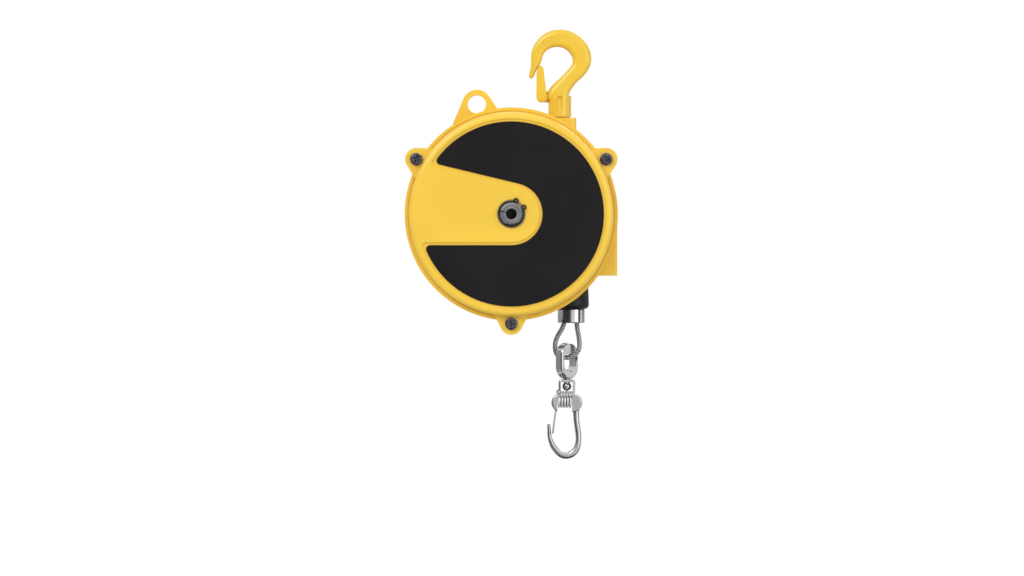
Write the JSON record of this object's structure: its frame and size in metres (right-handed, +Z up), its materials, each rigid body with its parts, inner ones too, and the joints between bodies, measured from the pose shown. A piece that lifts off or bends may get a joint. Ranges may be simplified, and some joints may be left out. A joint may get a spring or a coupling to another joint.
{
  "type": "spring tool balancer",
  "caption": "Hanging spring tool balancer: round die-cast case with rope drum and power spring, swivelling safety hook, safety eye, wire rope and swivel snap hook.",
  "frame": {"origin": "bowl seat of the top hook, on its swivel axis: the point that the balancer hangs from", "axes": "+X to the rope side, +Y to the back of the case along the drum axis, +Z up; the cover faces -Y"},
  "size_m": [0.1362, 0.067, 0.2753],
  "materials": {
    "case_yellow": "die-cast, gloss yellow paint",
    "hook_yellow": "forged steel, yellow paint",
    "label_black": "satin black sheet",
    "screw_dark": "black oxide",
    "shaft_steel": "turned steel",
    "clip_dark": "phosphated spring steel",
    "bush_bronze": "sintered bronze",
    "spring_steel": "blued spring strip",
    "drum_cast": "cast, turned grooves",
    "rope_steel": "galvanised wire rope",
    "guide_nylon": "nylon",
    "bumper_rubber": "moulded rubber",
    "bright_plate": "nickel plate",
    "steel_plain": "zinc plate"
  },
  "bodies": {
    "hook": {"top_hook": "hook_yellow", "hook_washer": "steel_plain", "hook_nut": "steel_plain", "latch_pin": "hook_yellow", "latch_spring": "spring_steel"},
    "latch": {"hook_latch": "hook_yellow"},
    "case": {"rear_case": "case_yellow", "front_cover": "case_yellow", "label_plate": "label_black", "cover_screws": "screw_dark", "front_bush": "bush_bronze", "rear_bush": "bush_bronze", "outlet_guide": "guide_nylon", "pawl_pin": "steel_plain", "pawl_spring": "spring_steel"},
    "shaft": {"main_shaft": "shaft_steel", "front_circlip": "clip_dark", "rear_circlip": "clip_dark", "shaft_key": "steel_plain", "shaft_spacer": "steel_plain", "ratchet_wheel": "steel_plain", "power_spring": "spring_steel"},
    "pawl": {"ratchet_pawl": "steel_plain"},
    "drum": {"drum": "drum_cast", "wire_winding": "rope_steel", "drum_cover": "steel_plain", "drum_bearing_front": "bush_bronze", "drum_bearing_rear": "bush_bronze", "drum_cover_screws": "screw_dark", "spring_anchor_pin": "steel_plain"},
    "pull": {"wire_run": "rope_steel", "rubber_bumper": "bumper_rubber", "wire_ferrule": "bright_plate", "wire_loop": "rope_steel"},
    "eye": {"swivel_eye": "bright_plate", "swivel_stem": "bright_plate"},
    "snap": {"snap_body": "bright_plate", "gate_pin": "bright_plate", "gate_spring": "bright_plate"},
    "gate": {"snap_gate": "bright_plate"}
  },
  "joints": [
    {"name": "case_swivel", "type": "hinge", "parent": "hook", "child": "case", "pos_m": [0, 0, -0.04532], "axis": [0, 0, 1], "continuous": true},
    {"name": "latch_swing", "type": "hinge", "parent": "hook", "child": "latch", "pos_m": [-0.0115, 0, -0.03212], "axis": [0, 1, 0], "range_deg": [0, 30], "stiffness_Nm_per_rad": 0.02, "springref_deg": -34.38},
    {"name": "drum_spin", "type": "hinge", "parent": "case", "child": "drum", "pos_m": [-0.0311, 0, -0.10732], "axis": [0, 1, 0], "range_deg": [0, 2460.9], "stiffness_Nm_per_rad": 0.004, "springref_deg": -8594.37, "deforming": ["power_spring"]},
    {"name": "rope_pull", "type": "slide", "parent": "case", "child": "pull", "axis": [0, 0, -1], "range_m": [0, 1.65], "deforming": ["wire_run"]},
    {"name": "eye_swing", "type": "hinge", "parent": "pull", "child": "eye", "pos_m": [0.0045, 0, -0.19912], "axis": [1, 0, 0], "range_deg": [-15, 15]},
    {"name": "snap_swivel", "type": "hinge", "parent": "eye", "child": "snap", "pos_m": [0.0045, 0, -0.21762], "axis": [0, 0, 1], "continuous": true},
    {"name": "gate_swing", "type": "hinge", "parent": "snap", "child": "gate", "pos_m": [-0.0008, 0, -0.22112], "axis": [0, -1, 0], "range_deg": [0, 24], "stiffness_Nm_per_rad": 0.02, "springref_deg": -34.38, "deforming": ["gate_spring"]},
    {"name": "shaft_turn", "type": "hinge", "parent": "case", "child": "shaft", "pos_m": [-0.0311, 0, -0.10732], "axis": [0, 1, 0], "continuous": true, "deforming": ["power_spring"]},
    {"name": "pawl_lift", "type": "hinge", "parent": "case", "child": "pawl", "pos_m": [-0.00769, 0, -0.08625], "axis": [0, 1, 0], "range_deg": [0, 14], "stiffness_Nm_per_rad": 0.01, "springref_deg": -28.65, "deforming": ["pawl_spring"]}
  ],
  "couplings": [
    {"joint": "rope_pull", "follows": "drum_spin", "m_per_rad": 0.0384}
  ]
}
